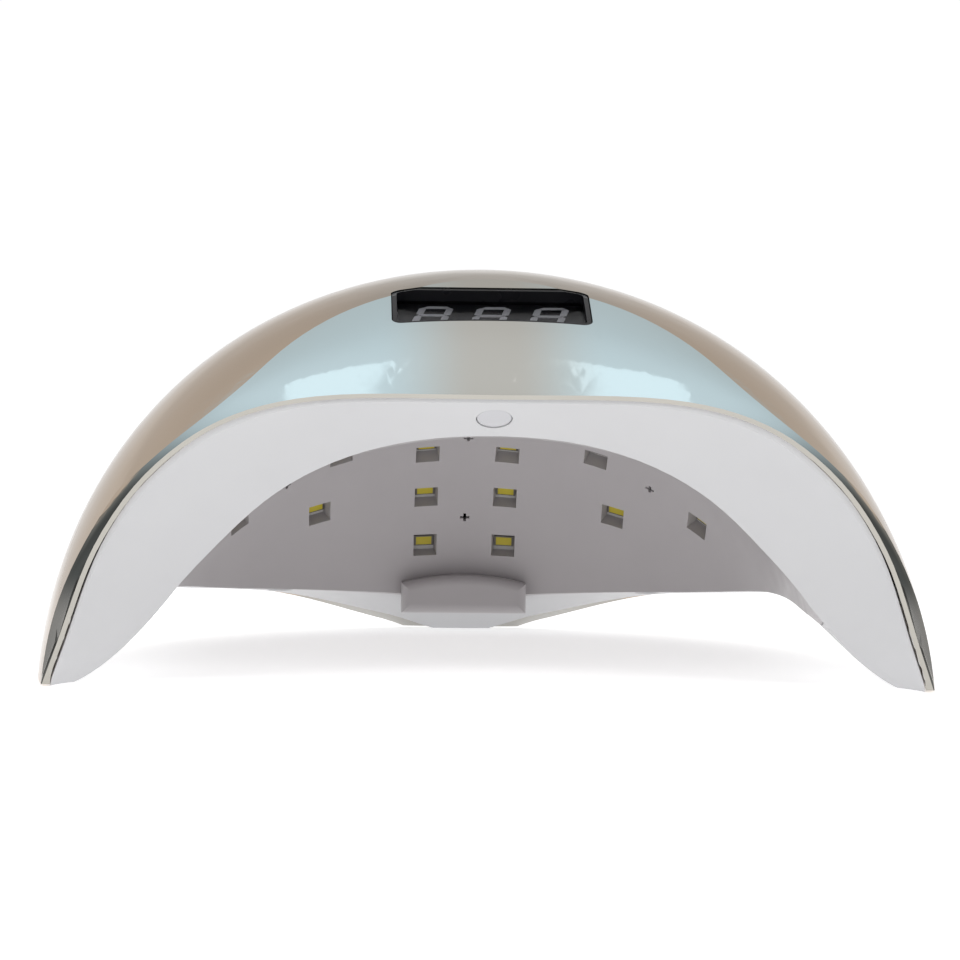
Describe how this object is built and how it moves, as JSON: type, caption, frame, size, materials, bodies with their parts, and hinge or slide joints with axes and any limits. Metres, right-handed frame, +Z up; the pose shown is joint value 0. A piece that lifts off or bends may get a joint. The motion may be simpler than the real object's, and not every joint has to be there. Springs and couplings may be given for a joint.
{
  "type": "uv curing lamp",
  "caption": "Domed desk-top UV curing lamp: plated shell over a white frame and reflector lined with light sources, with a display, timer buttons and a hand sensor.",
  "frame": {"origin": "on the table, in the middle of the lamp's width and length", "axes": "+X to the lamp's right as seen from the hand opening, +Y from the hand opening to the power inlet at the back, +Z up"},
  "size_m": [0.2208, 0.209, 0.1022],
  "materials": {
    "plated_shell": "mirror vacuum plating over moulded plastic, warm on the dome and blue-grey on the visor band",
    "white_frame": "satin white moulded plastic",
    "white_reflector": "satin white moulded plastic",
    "black_tray": "gloss black moulded plastic",
    "smoked_lens": "smoked clear plastic",
    "module_black": "black display body",
    "segment_grey": "unlit grey diffusing bars",
    "board_green": "green solder mask",
    "chip_black": "moulded epoxy",
    "lead_tin": "tinned leads",
    "driver_dark": "sleeved capacitors, coil and driver",
    "switch_black": "black switch bodies",
    "screw_steel": "zinc plated steel",
    "sensor_grey": "pale grey infrared window",
    "bulb_clear": "clear moulded lens",
    "bulb_dark": "dark moulded lens",
    "carrier_white": "white solder mask",
    "package_white": "white moulded light source body",
    "phosphor_yellow": "yellow phosphor gel",
    "inlet_black": "black moulded socket",
    "pin_nickel": "nickel plated pin",
    "contact_brass": "spring contact",
    "button_cap": "plated button caps",
    "plunger_dark": "switch plungers"
  },
  "bodies": {
    "casing": {"top_shell": "plated_shell", "inner_frame": "white_frame", "reflector": "white_reflector", "display_tray": "black_tray", "display_lens": "smoked_lens", "display_module": "module_black", "display_segments": "segment_grey", "control_board": "board_green", "control_chip": "chip_black", "chip_leads": "lead_tin", "driver_parts": "driver_dark", "button_switches": "switch_black", "board_screws": "screw_steel", "case_screws": "screw_steel", "sensor_window": "sensor_grey", "sensor_board": "board_green", "sensor_emitter": "bulb_clear", "sensor_receiver": "bulb_dark", "light_carriers": "carrier_white", "light_packages": "package_white", "light_phosphors": "phosphor_yellow", "inlet_body": "inlet_black", "inlet_pin": "pin_nickel", "inlet_contact": "contact_brass", "inlet_board": "board_green"},
    "cap_10s": {"button_10s": "button_cap", "plunger_10s": "plunger_dark"},
    "cap_30s": {"button_30s": "button_cap", "plunger_30s": "plunger_dark"},
    "cap_60s": {"button_60s": "button_cap", "plunger_60s": "plunger_dark"},
    "cap_99s": {"button_99s": "button_cap", "plunger_99s": "plunger_dark"}
  },
  "joints": [
    {"name": "press_10s", "type": "slide", "parent": "casing", "child": "cap_10s", "axis": [0, 0, -1], "range_m": [0, 0.0005], "stiffness_N_per_m": 800, "springref_m": -0.0003},
    {"name": "press_30s", "type": "slide", "parent": "casing", "child": "cap_30s", "axis": [0, 0, -1], "range_m": [0, 0.0005], "stiffness_N_per_m": 800, "springref_m": -0.0003},
    {"name": "press_60s", "type": "slide", "parent": "casing", "child": "cap_60s", "axis": [0, 0, -1], "range_m": [0, 0.0005], "stiffness_N_per_m": 800, "springref_m": -0.0003},
    {"name": "press_99s", "type": "slide", "parent": "casing", "child": "cap_99s", "axis": [0, 0, -1], "range_m": [0, 0.0005], "stiffness_N_per_m": 800, "springref_m": -0.0003}
  ]
}
